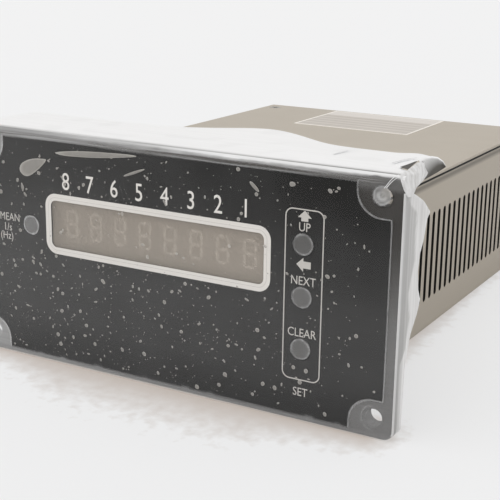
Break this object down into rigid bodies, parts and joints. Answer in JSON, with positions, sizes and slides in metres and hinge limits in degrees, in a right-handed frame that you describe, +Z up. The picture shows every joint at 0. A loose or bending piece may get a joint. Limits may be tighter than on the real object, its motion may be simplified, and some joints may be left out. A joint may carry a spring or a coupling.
{
  "type": "revolution counter",
  "caption": "Panel-mounted revolution counter: flat bezel with a digit window and push buttons on a long vented sheet-metal case with rear wiring terminals.",
  "frame": {"origin": "centre of the panel hole pattern on the bezel's rear seating plane", "axes": "+X to the viewer's right, +Y from the face back along the case, +Z up"},
  "size_m": [0.1606, 0.1977, 0.0803],
  "materials": {
    "bezel_plastic": "fine moulded texture",
    "face_sheet": "satin printed sheet",
    "window_filter": "smoky clear",
    "button_grey": "satin",
    "black_plastic": "moulded",
    "digit_grey": "moulded",
    "board_green": "resist over glass board",
    "spacer_nylon": "natural nylon",
    "screw_steel": "bright plated",
    "case_paint": "baked semi-matt enamel",
    "plate_brass": "plain",
    "core_iron": "varnished laminations",
    "winding_copper": "taped coil",
    "capacitor_sleeve": "shrunk sleeve",
    "heat_sink": "black anodised",
    "label_paper": "plain label",
    "transit_film": "clear soft film"
  },
  "bodies": {
    "counter": {"bezel": "bezel_plastic", "face_sheet": "face_sheet", "window_filter": "window_filter", "switch_up": "black_plastic", "switch_left": "black_plastic", "switch_clear": "black_plastic", "switch_mean": "black_plastic", "digit_1": "digit_grey", "digit_2": "digit_grey", "digit_3": "digit_grey", "digit_4": "digit_grey", "digit_5": "digit_grey", "digit_6": "digit_grey", "digit_7": "digit_grey", "digit_8": "digit_grey", "front_board": "board_green", "front_board_spacers": "spacer_nylon", "front_board_screws": "screw_steel", "chassis": "case_paint", "top_cover": "case_paint", "cover_screws": "screw_steel", "bezel_screws": "screw_steel", "rear_panel": "case_paint", "rear_panel_screws": "screw_steel", "terminal_block": "black_plastic", "terminal_block_screws": "screw_steel", "terminal_plates": "plate_brass", "terminal_screws": "screw_steel", "terminal_tails": "plate_brass", "main_board": "board_green", "board_standoffs": "plate_brass", "board_screws": "screw_steel", "board_link": "black_plastic", "transformer_core": "core_iron", "transformer_winding": "winding_copper", "filter_capacitor": "capacitor_sleeve", "small_capacitors": "capacitor_sleeve", "regulator": "black_plastic", "heat_sink": "heat_sink", "logic_chip": "black_plastic", "driver_chips": "black_plastic", "crystal": "screw_steel", "top_label": "label_paper", "protective_film": "transit_film"},
    "up_button": {"button_up": "button_grey", "plunger_up": "black_plastic"},
    "left_button": {"button_left": "button_grey", "plunger_left": "black_plastic"},
    "clear_button": {"button_clear": "button_grey", "plunger_clear": "black_plastic"},
    "mean_button": {"button_mean": "button_grey", "plunger_mean": "black_plastic"}
  },
  "joints": [
    {"name": "up_press", "type": "slide", "parent": "counter", "child": "up_button", "axis": [0, 1, 0], "range_m": [0, 0.001], "stiffness_N_per_m": 1500},
    {"name": "left_press", "type": "slide", "parent": "counter", "child": "left_button", "axis": [0, 1, 0], "range_m": [0, 0.001], "stiffness_N_per_m": 1500},
    {"name": "clear_press", "type": "slide", "parent": "counter", "child": "clear_button", "axis": [0, 1, 0], "range_m": [0, 0.001], "stiffness_N_per_m": 1500},
    {"name": "mean_press", "type": "slide", "parent": "counter", "child": "mean_button", "axis": [0, 1, 0], "range_m": [0, 0.001], "stiffness_N_per_m": 1500}
  ]
}
